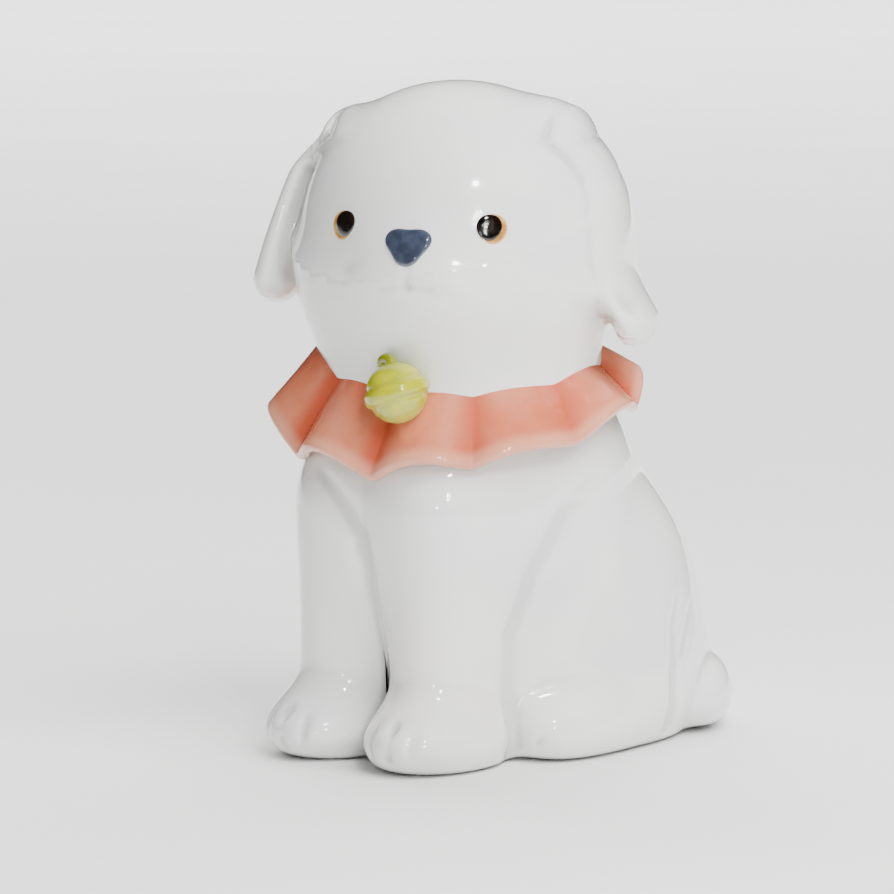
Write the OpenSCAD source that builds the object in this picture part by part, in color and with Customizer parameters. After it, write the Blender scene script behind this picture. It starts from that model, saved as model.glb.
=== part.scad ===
// Seated puppy figurine in glazed porcelain, built the way a figurine maker puts one together:
// hollow cast body and head, solid pressed limbs, ears and tail luted on with slip,
// a ribbon of clay pleated round the neck, a small round bell, and enamel spots for eyes and nose.
// The dog sits on the ground plane and faces -Y. Its left side is +X. Up is +Z.
// The origin is on the ground, under the middle of the figure. All sizes are in millimetres.

/* [Body casting] */
// Wall thickness of the two hollow castings
wall = 3; // [2:0.5:4]
// Thickness of the flat floor of the body
floor_t = 3.5; // [2.5:0.5:5]
// Bore of the vent hole in the floor, which lets air out in the kiln
vent_d = 5; // [3:0.5:8]
// Width of the rump
rump_w = 39; // [35:1:46]
// Length of the rump from front to back
rump_l = 51; // [44:1:60]
// Full height of the rump's oval, part of which is cut away by the ground
rump_h = 48; // [42:1:54]
// Height of the middle of the rump
rump_z = 18; // [16:0.5:21]
// How far the middle of the rump lies behind the origin
rump_back = 6.5; // [5:0.5:9]
// Width of the chest
chest_w = 41; // [36:1:46]
// Depth of the chest from front to back
chest_l = 44; // [38:1:50]
// Full height of the chest's oval
chest_h = 47; // [42:1:54]
// Height of the middle of the chest
chest_z = 31.5; // [28:0.5:35]
// How far the middle of the chest lies in front of the origin
chest_front = 4.5; // [2:0.5:7]

/* [Seat] */
// Width of the spread foot of the body, where it sits on the ground
seat_w = 48; // [42:1:54]
// Length of the foot of the body
seat_l = 44; // [38:1:50]
// Full height of the foot's oval
seat_h = 18; // [14:0.5:24]
// Height of the middle of the foot's oval
seat_z = 4; // [2:0.5:6]
// How far the middle of the foot lies behind the origin
seat_back = 6.5; // [5:0.5:9]

/* [Haunches] */
// Thickness of each haunch, across the body
haunch_w = 20; // [17:0.5:25]
// Length of each haunch
haunch_l = 34.5; // [29:0.5:41]
// Height of each haunch's oval
haunch_h = 33; // [28:0.5:40]
// Height of the middle of each haunch
haunch_z = 16; // [13:0.5:19]
// How far the middle of the haunches lies behind the origin
haunch_back = 7.5; // [5:0.5:10]
// How far each haunch stands out beyond the rump
haunch_proud = 2.5; // [1:0.5:4.5]

/* [Legs and paws] */
// Width of a foreleg
leg_w = 13.5; // [11:0.5:16]
// Depth of a foreleg from front to back
leg_l = 17; // [14:0.5:21]
// Gap between the two forelegs
leg_gap = 2; // [1:0.5:5]
// How far the forelegs stand out in front of the chest
leg_proud = 0.5; // [0:0.5:4]
// Height of the top of a foreleg's shoulder
shoulder_top = 42; // [36:1:44]
// Width of a front paw
paw_w = 15.5; // [12:0.5:18]
// Length of a front paw
paw_l = 21.5; // [17:0.5:26]
// Height of a front paw
paw_h = 9; // [7:0.5:12]
// How far the front paws reach in front of the legs
paw_reach = 5.5; // [3:0.5:8]
// Width of a hind paw
hind_paw_w = 13; // [10:0.5:16]
// Length of a hind paw
hind_paw_l = 21; // [16:0.5:26]
// Height of a hind paw
hind_paw_h = 9.5; // [7:0.5:13]
// How far the hind paws reach in front of the haunches
hind_paw_reach = 4.5; // [2:0.5:8]
// How far the hind paws stand out beyond the haunches
hind_paw_out = 1.5; // [0:0.5:4]

/* [Tail] */
// Thickness of the tail, across
tail_w = 8; // [6:0.5:10]
// Height of the tail
tail_h = 10; // [8:0.5:12]
// Length of each of the three overlapping lobes that make the tail
tail_lobe = 17; // [14:0.5:20]
// Depth of the flat that the tail rests on
tail_flat = 0.6; // [0.3:0.1:1.5]
// How far round the body the tail's tip lies towards the dog's left, in degrees
tail_curl = 55; // [35:1:70]

/* [Neck and head] */
// Width of the neck
neck_w = 32; // [27:1:36]
// Height of the seam between body and head, at the middle of the neck
neck_z = 51; // [48:0.5:54]
// How far the neck stands in front of the origin
neck_front = 6.5; // [4:0.5:9]
// Forward slope of the neck seam and of the collar, in degrees
neck_slope = 12; // [6:1:15]
// How far the head is turned towards the dog's left, in degrees
head_turn = 21; // [0:0.5:40]
// Width of the skull
skull_w = 38; // [34:1:44]
// Length of the skull from front to back
skull_l = 37; // [32:1:43]
// Full height of the skull's oval
skull_h = 31; // [27:1:37]
// Rise from the neck seam to the middle of the skull
skull_rise = 20.5; // [18:0.5:24]
// Width across the cheeks
cheek_w = 40; // [36:1:46]
// Length through the cheeks
cheek_l = 36; // [32:1:42]
// Full height of the cheeks' oval
cheek_h = 27; // [23:1:32]
// Rise from the neck seam to the middle of the cheeks
cheek_rise = 10; // [8:0.5:13]
// Width of the muzzle
muzzle_w = 17; // [13:0.5:21]
// Length of the muzzle's oval
muzzle_l = 15; // [12:0.5:18]
// Height of the muzzle
muzzle_h = 13; // [10:0.5:16]
// Rise from the neck seam to the middle of the muzzle
muzzle_rise = 13; // [11:0.5:15]
// How far the muzzle stands out from the face
muzzle_proud = 2; // [1:0.5:4]

/* [Ears] */
// Rise from the neck seam to the top of an ear
ear_top = 34; // [31:0.5:37]
// Length of an ear
ear_l = 29; // [24:0.5:34]
// Width of an ear, from front to back
ear_w = 16; // [13:0.5:20]
// Width of an ear's narrow top
ear_root_w = 10; // [7:0.5:13]
// Thickness of an ear at its tip
ear_t = 6; // [4.5:0.5:8]
// Thickness of an ear at its top
ear_root_t = 3.5; // [2.5:0.5:5]
// How far the middle of the tip stands out from the cheek
ear_flare = 3.8; // [3:0.2:6]
// How much further the tip of the dog's left ear is kicked out
ear_kick = 1.4; // [0:0.2:3]
// How far the ears lie behind the middle of the head
ear_back = 3; // [1:0.5:5]

/* [Eyes and nose] */
// Thickness of each layer of enamel
enamel_t = 0.3; // [0.2:0.05:0.5]
// Diameter of a black pupil
pupil_d = 3.2; // [2.4:0.1:4]
// Diameter of the amber spot behind a pupil
iris_d = 4.2; // [4:0.1:5.5]
// Angle of each eye from the middle of the face, in degrees
eye_angle = 29; // [24:1:34]
// Rise from the neck seam to the eyes
eye_rise = 18.5; // [16.5:0.5:21]
// Width of the nose
nose_w = 6; // [4.5:0.5:8]
// Height of the nose
nose_h = 4.8; // [3.5:0.1:6]
// Rise from the neck seam to the middle of the nose
nose_rise = 16; // [14.5:0.5:17]

/* [Ruffled collar] */
// Diameter of the collar over the tips of its pleats
collar_d = 50; // [45:1:57]
// How steeply the collar falls away from the neck, in degrees
collar_pitch = 40.5; // [30:0.5:46]
// Thickness of the clay ribbon
ribbon_t = 1.6; // [1.2:0.1:2.4]
// Number of pleats
pleats = 15; // [10:1:20]
// How far the hem swings in and out with the pleats, from its mean
pleat_swing = 0.8; // [0.4:0.1:1.4]
// Height of a pleat at the hem, from its mean
pleat_h = 1.5; // [0.8:0.1:2.2]

/* [Bell] */
// Diameter of the bell
bell_d = 8; // [6:0.2:10]
// Width of the raised band round the bell
band_w = 1.5; // [1:0.1:2.2]
// How far the band stands out from the bell
band_proud = 0.4; // [0.2:0.1:0.8]
// Thickness of the wire-like loop on top of the bell
loop_t = 1.3; // [1:0.1:1.8]
// Outer diameter of the loop
loop_d = 3.8; // [3.2:0.1:4.6]
// Angle of the bell from the middle of the chest towards the dog's left, in degrees
bell_angle = 16; // [0:1:30]

/* [Hidden] */
$fn = 64;

glaze_white = "#eceeec";
coral = "#dd8a74";
bell_green = "#c2c558";
loop_green = "#8f9233";
amber = "#c98b3c";
black = "#1c1715";
slate_blue = "#5a6a8c";

left = 1;
right = -1;
reach = 120;                       // larger than the whole figure, for cutting blocks
haunch_x = (rump_w - haunch_w) / 2 + haunch_proud;
haunch_y = haunch_back;
leg_x = (leg_gap + leg_w) / 2;
leg_y = -chest_front - chest_l / 2 - leg_proud + leg_l / 2;
paw_y = leg_y - leg_l / 2 - paw_reach + paw_l / 2;
paw_x = max(leg_x, (leg_gap + paw_w) / 2 - 0.5);
hind_paw_x = haunch_x + haunch_w / 2 + hind_paw_out - hind_paw_w / 2;
hind_paw_y = haunch_y - haunch_l / 2 - hind_paw_reach + hind_paw_l / 2;
tail_z = tail_h / 2 - tail_flat;
tail_root = 8;                     // the root starts this far round, in degrees
skull_z = neck_z + skull_rise;
cheek_z = neck_z + cheek_rise;
muzzle_y = -cheek_l / 2 - muzzle_proud + muzzle_l / 2;
ear_root_share = 0.25;             // heights of the ear's root, middle and tip, as shares of its length
ear_middle_share = 0.4;
ear_tip_share = 0.3;
ear_sweep = 1;                     // the ear hangs forward from root to tip by this much, each way
ear_facets = 32;
neck_up = 7;                       // the neck's cylinder runs this far into the head
neck_down = 8;                     // and this far into the chest
collar_in = neck_w / 2;            // the collar's ribbon starts on the surface of the neck
pleat_steps = 6;                   // points round one pleat
collar_rows = 4;                   // rows of points from neck to hem
bell_r = bell_d / 2;
bell_lean = [-8, -22, 0];          // the bell's loop leans back to the neck and to the dog's right
bell_sunk = 0.5;                   // the bell is pressed this far into the neck
bell_out = neck_w / 2 + bell_r - bell_sunk;
collar_out = collar_d / 2 - pleat_swing;

// An oval with its middle at a point and its full width, length and height given
module oval(at, size, facets = 64) {
    translate(at) scale(size / 2) sphere(1, $fn = facets);
}

// Everything above the ground, or above another level
module above(level = 0) {
    translate([-reach, -reach, level]) cube([2 * reach, 2 * reach, reach]);
}

// Places children in the frame of the neck: origin on the seam, tilted with the collar
module neck_frame() {
    translate([0, -neck_front, neck_z]) rotate([neck_slope, 0, 0]) children();
}

// Places children in the frame of the turned head, with the ground as its floor
module head_frame() {
    translate([0, -neck_front, 0]) rotate([0, 0, head_turn]) children();
}

// The block below the neck seam, and the one above it
module below_seam() {
    neck_frame() translate([-reach, -reach, -2 * reach]) cube(2 * reach);
}

module above_seam() {
    neck_frame() translate([-reach, -reach, 0]) cube(2 * reach);
}

// The neck, shared by body and head: a cylinder square to the seam. grow widens it all round.
module neck_form(grow = 0) {
    neck_frame() translate([0, 0, -neck_down]) cylinder(d = neck_w + 2 * grow, h = neck_down + neck_up);
}

// Outer form of the body: rump, chest, spread foot, haunches and neck
module torso_form(grow = 0) {
    more = 2 * [grow, grow, grow];
    oval([0, rump_back, rump_z], [rump_w, rump_l, rump_h] + more);
    oval([0, -chest_front, chest_z], [chest_w, chest_l, chest_h] + more);
    oval([0, seat_back, seat_z], [seat_w, seat_l, seat_h] + more);
    for (side = [left, right])
        oval([side * haunch_x, haunch_y, haunch_z], [haunch_w, haunch_l, haunch_h] + more);
    neck_form(grow);
}

// Skull and cheeks, in the frame of the turned head
module skull_form(grow = 0) {
    more = 2 * [grow, grow, grow];
    oval([0, 0, skull_z], [skull_w, skull_l, skull_h] + more);
    oval([0, 0, cheek_z], [cheek_w, cheek_l, cheek_h] + more);
}

// The face that the enamel lies on: skull and cheeks with the muzzle, in the same frame
module face_form(grow = 0) {
    more = 2 * [grow, grow, grow];
    skull_form(grow);
    oval([0, muzzle_y, neck_z + muzzle_rise], [muzzle_w, muzzle_l, muzzle_h] + more);
}

// Outer form of the head, down to the neck
module head_form(grow = 0) {
    head_frame() face_form(grow);
    neck_form(grow);
}

// Hollow body with a flat floor, a vent hole in it and an open neck
module body_casting() {
    color(glaze_white)
    difference() {
        intersection() {
            torso_form();
            above();
            below_seam();
        }
        intersection() {
            torso_form(-wall);
            above(floor_t);
        }
        translate([0, rump_back, -1]) cylinder(d = vent_d, h = floor_t + 2);
    }
}

// Hollow head, open at the neck, where it is luted to the body
module head_casting() {
    color(glaze_white)
    difference() {
        intersection() {
            head_form();
            above_seam();
        }
        head_form(-wall);
    }
}

// A hanging ear: a flat lobe, narrow where it starts on the skull and thick at its tip.
// The dog's right ear is made, and the left one is its mirror image.
module ear(side) {
    root_h = ear_l * ear_root_share;
    middle_h = ear_l * ear_middle_share;
    tip_h = ear_l * ear_tip_share;
    tip_flare = ear_flare + (side == left ? ear_kick : 0);
    color(glaze_white)
    head_frame()
    mirror([side == left ? 1 : 0, 0, 0])
    difference() {
        translate([0, ear_back, neck_z + ear_top])
        hull() {
            oval([-skull_w / 2 + ear_root_t / 2, ear_sweep, -root_h / 2],
                 [ear_root_t, ear_root_w, root_h], ear_facets);
            oval([-cheek_w / 2 - ear_flare / 2, 0, -ear_l / 2],
                 [ear_root_t, ear_w, middle_h], ear_facets);
            oval([-cheek_w / 2 - tip_flare, -ear_sweep, -ear_l + tip_h / 2],
                 [ear_t, ear_w, tip_h], ear_facets);
        }
        skull_form();
    }
}

// A foreleg: shoulder, straight leg and paw, standing on the ground
module foreleg_form(side) {
    shank_h = shoulder_top - leg_l / 2;
    intersection() {
        union() {
            translate([side * leg_x, leg_y, 0]) scale([leg_w / leg_l, 1, 1]) {
                cylinder(d = leg_l, h = shank_h);
                translate([0, 0, shank_h]) sphere(d = leg_l);
            }
            oval([side * paw_x, paw_y, paw_h * 0.4], [paw_w, paw_l, paw_h * 1.2]);
        }
        above();
        translate([side > 0 ? leg_gap / 4 : -reach - leg_gap / 4, -reach / 2, 0]) cube([reach, reach, reach]);
    }
}

module foreleg(side) {
    color(glaze_white)
    difference() {
        foreleg_form(side);
        torso_form();
    }
}

// A hind paw, which shows beside the front paw under the haunch: a toe end and a longer heel
module hind_paw(side) {
    toe_l = hind_paw_l * 0.6;
    paw_top = hind_paw_h * 1.2;
    color(glaze_white)
    difference() {
        intersection() {
            translate([side * hind_paw_x, hind_paw_y - hind_paw_l / 2, hind_paw_h - paw_top / 2])
            hull() {
                oval([0, toe_l / 2, 0], [hind_paw_w, toe_l, paw_top], 32);
                oval([0, hind_paw_l - toe_l / 2, 0], [hind_paw_w * 0.9, toe_l, paw_top], 32);
            }
            above();
        }
        torso_form();
        foreleg_form(side);
    }
}

// The tail lies on the ground round the foot of the body and curls to the dog's left
module tail() {
    color(glaze_white)
    difference() {
        intersection() {
            for (step = [0, 0.5, 1]) {
                turn = tail_root + step * (tail_curl - tail_root);
                translate([seat_w / 2 * sin(turn), seat_back + seat_l / 2 * cos(turn), tail_z])
                rotate([0, 0, -turn])
                oval([0, 0, 0], [tail_lobe, tail_w, tail_h]);
            }
            above();
        }
        torso_form();
    }
}

// One point of the collar's middle surface. part runs from 0 at the neck to 1 at the hem.
function pleat_wave(angle) = cos(pleats * angle) + 0.25 * cos(2 * pleats * angle + 60);
pleat_peak = 1.2;                  // just above the highest value of the wave
function collar_radius(part, angle) =
    collar_in + part * (collar_out - collar_in + pleat_swing * pleat_wave(angle));
function collar_fall(part) = -tan(collar_pitch) * part * (collar_out - collar_in);
function pleat_rise(part) = pleat_h * pow(part, 1.2);
function collar_height(part, angle) =
    collar_fall(part) + pleat_rise(part) * pleat_wave(angle + 90 / pleats);
function collar_point(part, angle, side) =
    let (r = collar_radius(part, angle))
    [r * cos(angle), r * sin(angle), collar_height(part, angle) + side * ribbon_t / 2];

// The bell rests on the crests of the pleats
bell_part = (bell_out - collar_in) / (collar_out - collar_in);
bell_z = collar_fall(bell_part) + pleat_rise(bell_part) * pleat_peak + ribbon_t / 2 + bell_r;

// The ribbon: an upper and a lower sheet of points, closed along the neck and along the hem
module collar_form() {
    around = pleats * pleat_steps;
    sheet = around * (collar_rows + 1);
    points = [
        for (side = [1, -1], row = [0:collar_rows], step = [0:around - 1])
            collar_point(row / collar_rows, 360 * step / around, side)
    ];
    upper = [
        for (row = [0:collar_rows - 1], step = [0:around - 1])
            let (a = row * around + step, b = row * around + (step + 1) % around)
            each [[a, a + around, b], [b, a + around, b + around]]
    ];
    lower = [for (f = upper) [sheet + f[2], sheet + f[1], sheet + f[0]]];
    edges = [
        for (row = [0, collar_rows], step = [0:around - 1])
            let (a = row * around + step, b = row * around + (step + 1) % around)
            each row == 0
                ? [[a, b, sheet + a], [b, sheet + b, sheet + a]]
                : [[a, sheet + a, b], [b, sheet + a, sheet + b]]
    ];
    neck_frame() polyhedron(points, concat(upper, lower, edges));
}

module ruffled_collar() {
    color(coral) collar_form();
}

// Places children at the bell, with the bell's own axis along Z
module bell_frame() {
    neck_frame() rotate([0, 0, bell_angle]) translate([0, -bell_out, bell_z]) rotate(bell_lean) children();
}

// A ball with a raised band round its middle
module bell_form() {
    bell_frame()
    rotate_extrude() {
        intersection() {
            circle(d = bell_d);
            translate([0, -bell_d / 2]) square([bell_d, bell_d]);
        }
        translate([0, -band_w / 2]) square([bell_r + band_proud, band_w]);
    }
}

module bell() {
    color(bell_green)
    difference() {
        bell_form();
        head_form();
    }
}

// The loop that the bell hangs from, standing on top of it
module bell_loop() {
    color(loop_green)
    difference() {
        bell_frame()
        translate([0, 0, bell_r + loop_d / 2 - loop_t * 0.75])
        rotate([90, 0, 0])
        rotate_extrude() translate([(loop_d - loop_t) / 2, 0]) circle(d = loop_t);
        bell_form();
        head_form();
    }
}

// A round spot laid on the head, from one depth of enamel to another
module eye_spot(side, diameter, shift, from, to) {
    head_frame()
    difference() {
        intersection() {
            face_form(to);
            translate([0, 0, neck_z + eye_rise])
            rotate([0, 0, side * eye_angle])
            rotate([90, 0, 0])
            translate([shift[0], shift[1], skull_l / 4]) cylinder(d = diameter, h = skull_l);
        }
        face_form(from);
    }
}

module iris(side) {
    room = (iris_d - pupil_d) / 2;
    color(amber) eye_spot(side, iris_d, [side * room * 0.8, -room * 0.4], 0, enamel_t);
}

module pupil(side) {
    color(black) eye_spot(side, pupil_d, [0, 0], enamel_t, 2 * enamel_t);
}

// The nose, a small pad on the upper front of the muzzle
module nose() {
    nose_y = -cheek_l / 2 - muzzle_proud + nose_h / 3;
    color(slate_blue)
    head_frame()
    difference() {
        oval([0, nose_y, neck_z + nose_rise], [nose_w, nose_h, nose_h]);
        face_form();
    }
}

body_casting();
head_casting();
ear(left);  // left_ear
ear(right);  // right_ear
foreleg(left);  // left_foreleg
foreleg(right);  // right_foreleg
hind_paw(left);  // left_hind_paw
hind_paw(right);  // right_hind_paw
tail();
ruffled_collar();
bell();
bell_loop();
iris(left);  // left_iris
iris(right);  // right_iris
pupil(left);  // left_pupil
pupil(right);  // right_pupil
nose();
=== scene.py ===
# %% [markdown]
# # A seated china puppy with a ruffled collar
# The ornament is slip-cast white porcelain: a hollow body and a hollow head joined at the neck,
# with ears, legs, paws and tail stuck on with slip and smoothed in, a pleated clay ribbon round
# the neck, a little bell, and a painted face. One clear glaze covers the white parts.
# This lesson loads the measured solids first, so that every new piece is placed from them.

import math

import bmesh
import bpy
import numpy as np
from mathutils import Matrix, Vector


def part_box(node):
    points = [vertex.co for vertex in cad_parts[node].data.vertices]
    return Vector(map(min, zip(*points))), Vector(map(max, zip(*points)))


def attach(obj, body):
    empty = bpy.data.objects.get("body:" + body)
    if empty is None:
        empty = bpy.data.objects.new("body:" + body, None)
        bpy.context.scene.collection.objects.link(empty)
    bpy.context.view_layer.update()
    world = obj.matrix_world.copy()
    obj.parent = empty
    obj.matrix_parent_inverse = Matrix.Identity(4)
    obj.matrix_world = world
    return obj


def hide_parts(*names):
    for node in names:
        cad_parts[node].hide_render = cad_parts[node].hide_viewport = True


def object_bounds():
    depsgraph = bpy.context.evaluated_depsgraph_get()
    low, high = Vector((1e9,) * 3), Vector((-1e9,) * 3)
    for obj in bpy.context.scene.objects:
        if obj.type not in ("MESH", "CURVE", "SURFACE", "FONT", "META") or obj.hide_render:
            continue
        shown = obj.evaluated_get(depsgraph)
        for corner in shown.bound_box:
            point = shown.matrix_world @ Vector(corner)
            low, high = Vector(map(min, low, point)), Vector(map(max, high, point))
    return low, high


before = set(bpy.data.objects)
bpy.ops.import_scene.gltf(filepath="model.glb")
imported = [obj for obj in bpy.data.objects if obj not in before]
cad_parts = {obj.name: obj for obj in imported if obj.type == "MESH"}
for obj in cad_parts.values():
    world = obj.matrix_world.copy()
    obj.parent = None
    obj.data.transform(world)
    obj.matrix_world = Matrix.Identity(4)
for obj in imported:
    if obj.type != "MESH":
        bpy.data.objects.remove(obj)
cad_low, cad_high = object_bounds()
MM = 1000.0                       # the forms are worked out in millimetres


def corners(node):
    """The lowest and the highest corner of a solid, in millimetres."""
    low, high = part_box(node)
    return np.array(low) * MM, np.array(high) * MM


def middle(node):
    low, high = corners(node)
    return (low + high) / 2


print("pieces to dress:", len(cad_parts))

# %% [markdown]
# ## The measures of the clay lumps
# A modeller builds such a puppy from egg-shaped lumps. Each lump is written down once, as the
# point at its middle and its width, length and height, and is placed from the box of its solid.

# %%
body_low, body_high = corners("body_casting")
head_low, head_high = corners("head_casting")
leg_low, leg_high = corners("left_foreleg")
hind_low, hind_high = corners("left_hind_paw")
tail_low, tail_high = corners("tail")
ear_low, ear_high = corners("left_ear")

RUMP = np.array([39.0, 51.0, 48.0])
CHEST = np.array([41.0, 44.0, 47.0])
SEAT = np.array([body_high[0] - body_low[0] - 1.0, 44.0, 30.0])
HAUNCH = np.array([20.0, 34.5, 33.0])
SKULL = np.array([38.0, 37.0, 31.0])
CHEEKS = np.array([40.0, 36.0, 27.0])
MUZZLE = np.array([18.0, 16.0, 13.5])
LEG = np.array([13.5, 17.0])      # a leg is an upright rod, so it has no height of its own
PAW = np.array([16.4, 22.5, 10.8])
HIND_PAW = np.array([13.0, 21.0, 11.4])
NECK_WIDTH = 32.0
NECK_SLOPE = math.radians(12)     # the neck leans forward
HEAD_TURN = math.radians(21)      # and the head looks to the dog's own left

rump_at = np.array([0.0, body_high[1] - RUMP[1] / 2, 18.0])
chest_at = np.array([0.0, body_low[1] + CHEST[1] / 2, 31.5])
seat_at = np.array([0.0, rump_at[1], 6.0])
haunch_at = np.array([12.0, rump_at[1] + 1.0, 16.0])
neck_at = np.array([-0.5, head_high[1] - SKULL[1] / 2, head_high[2] - SKULL[2] / 2 - 20.5])
skull_at = np.array([0.0, 0.0, head_high[2] - SKULL[2] / 2])
cheeks_at = np.array([0.0, 0.0, neck_at[2] + 10.0])
muzzle_at = np.array([0.0, -CHEEKS[1] / 2 - 2.7 + MUZZLE[1] / 2, neck_at[2] + 13.0])
leg_x = (leg_low[0] + leg_high[0] - 1.2) / 2
leg_y = leg_low[1] + 5.5 + LEG[1] / 2
shoulder_z = leg_high[2] - LEG[1] / 2
paw_at = np.array([leg_high[0] + 0.5 - PAW[0] / 2, leg_low[1] - 0.4 + PAW[1] / 2, PAW[2] / 3])
hind_at = np.array([hind_high[0] - HIND_PAW[0] / 2, hind_low[1] + HIND_PAW[1] / 2,
                    hind_high[2] - HIND_PAW[2] / 2])
print("neck at", neck_at.round(1), "leg at", round(leg_x, 1), round(leg_y, 1))

# %% [markdown]
# ## Forms that melt together
# Slip and glaze leave no hard join between two lumps. A form here is a rule that gives, for any
# point, about how far it is from the skin: minus inside, plus outside. Two forms are blended over
# a given width, as a wet sponge blends clay, and a stroke of the tool presses a groove.

# %%
# How wide the joins are smoothed, in millimetres
TRUNK_MELT, SEAT_MELT, HAUNCH_MELT = 8.0, 10.0, 4.0
HEAD_MELT, MUZZLE_MELT = 10.0, 4.0
LEG_MELT, PAW_MELT, HIND_MELT = 5.0, 4.0, 3.0
LOBE_MELT, TAIL_MELT = 3.0, 1.5
FOOT_ROUND = 1.6                  # the rounding of the edge all round the foot
NECK_MIDDLE, NECK_HALF = 1.0, 12.0    # the neck's rod, along its own slope


def oval_form(away, radius):
    """For points that lie so far away from the middle of an oval with these radii."""
    unit = away / radius
    reach = np.sqrt((unit * unit).sum(1))
    steep = np.sqrt(((unit / radius) ** 2).sum(1)) + 1e-9
    return reach * (reach - 1) / steep


def oval(points, at, size):
    return oval_form(points - at, np.asarray(size) / 2)


def limb(points, start, end, start_radius, end_radius, flat):
    """A rod with round ends, wide or narrow across by the shares in flat."""
    flat = np.asarray(flat, float)
    first, last, points = np.asarray(start) / flat, np.asarray(end) / flat, points / flat
    along = last - first
    part = np.clip(((points - first) @ along) / (along @ along), 0, 1)
    gap = np.sqrt(((points - first - part[:, None] * along) ** 2).sum(1))
    return (gap - start_radius - (end_radius - start_radius) * part) * flat.min()


def blend(first, second, width):
    near = np.maximum(width - np.abs(first - second), 0) / width
    return np.minimum(first, second) - near * near * width / 4


def trim(first, second, width):
    """What is inside both forms, with the edge between them rounded."""
    return -blend(-first, -second, width)


def stroke(points, path, width):
    """How deep a round tool presses, drawn along a path of (x, y, z, depth) points."""
    path = np.asarray(path, float)
    pressed = np.zeros(len(points))
    for start, end in zip(path[:-1], path[1:]):
        along = end[:3] - start[:3]
        part = np.clip(((points - start[:3]) @ along) / (along @ along), 0, 1)
        away = ((points - start[:3] - part[:, None] * along) ** 2).sum(1)
        depth = start[3] + part * (end[3] - start[3])
        pressed = np.maximum(pressed, depth * np.exp(-away / width ** 2))
    return pressed


def turned(points, angle):
    c, s = math.cos(angle), math.sin(angle)
    return np.stack([c * points[:, 0] - s * points[:, 1], s * points[:, 0] + c * points[:, 1],
                     points[:, 2]], 1)


def to_head(points):
    """Points as seen from the turned head: its face looks along minus Y."""
    return turned(points - np.array([neck_at[0], neck_at[1], 0.0]), -HEAD_TURN)


def to_neck(points):
    away = points - neck_at
    c, s = math.cos(NECK_SLOPE), math.sin(NECK_SLOPE)
    return np.stack([away[:, 0], c * away[:, 1] + s * away[:, 2],
                     -s * away[:, 1] + c * away[:, 2]], 1)


def mirrored(points):
    """Both sides of the figure folded onto the dog's left side."""
    return np.stack([np.abs(points[:, 0]), points[:, 1], points[:, 2]], 1)


def torso(points):
    both = mirrored(points)
    form = blend(oval(points, rump_at, RUMP), oval(points, chest_at, CHEST), TRUNK_MELT)
    form = blend(form, oval(both, haunch_at, HAUNCH), HAUNCH_MELT)
    return blend(form, oval(points, seat_at, SEAT), SEAT_MELT)


def folds(points):
    """Strokes that set off the chest, the haunches and the back of the thighs."""
    both = mirrored(points)
    front, side = body_low[1] - 0.5, body_high[0]
    bib = [(-9.0, front + 0.6, 38.5, 0.1), (-4.8, front, 35.0, 1.0), (-2.6, front, 32.4, 1.4),
           (-0.8, front + 0.2, 29.5, 1.5), (0, front + 0.6, 25.0, 1.1), (0, front + 3.0, 9.0, 0.5)]
    thigh = [(side - 3.8, -4.0, 37.5, 0.1), (side - 4.2, -10.0, 33.0, 0.5),
             (side - 6.2, -14.1, 24.6, 0.9), (side - 8.2, -15.6, 16.8, 1.1),
             (side - 8.7, -15.4, 8.9, 0.9), (side - 8.5, -15.2, 2.0, 0.6)]
    rear = [(side - 1.5, 12.5, 21.0, 0.1), (side, 8.6, 15.5, 0.6), (side + 0.7, 7.6, 9.6, 0.9),
            (side - 0.4, 7.8, 2.0, 0.9)]
    rear_fold = [(side - 1.6, 14.0, 17.1, 0.1), (side, 10.6, 13.0, 0.5), (side + 0.5, 8.9, 10.6, 0.1)]
    return (stroke(points, bib, 1.3) + stroke(both, thigh, 1.7) + stroke(both, rear, 1.0)
            + stroke(both, rear_fold, 0.8))


def face(points):
    """The head without its ears: skull, cheeks, muzzle, and strokes for lip, mouth and cheeks."""
    near = to_head(points)
    form = blend(oval(near, skull_at, SKULL), oval(near, cheeks_at, CHEEKS), HEAD_MELT)
    form = blend(form, oval(near, muzzle_at, MUZZLE), MUZZLE_MELT)
    both = mirrored(near)
    front, lip_z = muzzle_at[1] - MUZZLE[1] / 2 - 0.9, muzzle_at[2] - 1.8
    form = form + stroke(near, [(0, front + 0.6, lip_z + 3, 0.2), (0, front, lip_z, 0.4)], 0.7)
    form = form + stroke(both, [(0, front, lip_z, 0.3), (3.0, front + 0.4, lip_z - 0.5, 0.3),
                                (5.8, front + 1.9, lip_z - 1.8, 0.05)], 0.95)
    return form + stroke(both, [(5.6, front + 1.7, lip_z + 3.2, 0.1),
                                (8.6, front + 2.4, lip_z + 1.4, 0.3),
                                (10.6, front + 3.4, lip_z - 1.4, 0.05)], 1.7)


def neck(points):
    near = to_neck(points)
    round_the_neck = np.sqrt(near[:, 0] ** 2 + near[:, 1] ** 2) - NECK_WIDTH / 2
    return np.maximum(round_the_neck, np.abs(near[:, 2] - NECK_MIDDLE) - NECK_HALF)


def joined(points):
    """Torso, head and neck, with no flat foot yet."""
    form = blend(torso(points), face(points), TRUNK_MELT)
    return blend(form, neck(points), TRUNK_MELT)


def core(points):
    """The trunk that everything else is stuck to."""
    return trim(joined(points), -points[:, 2], FOOT_ROUND)


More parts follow.
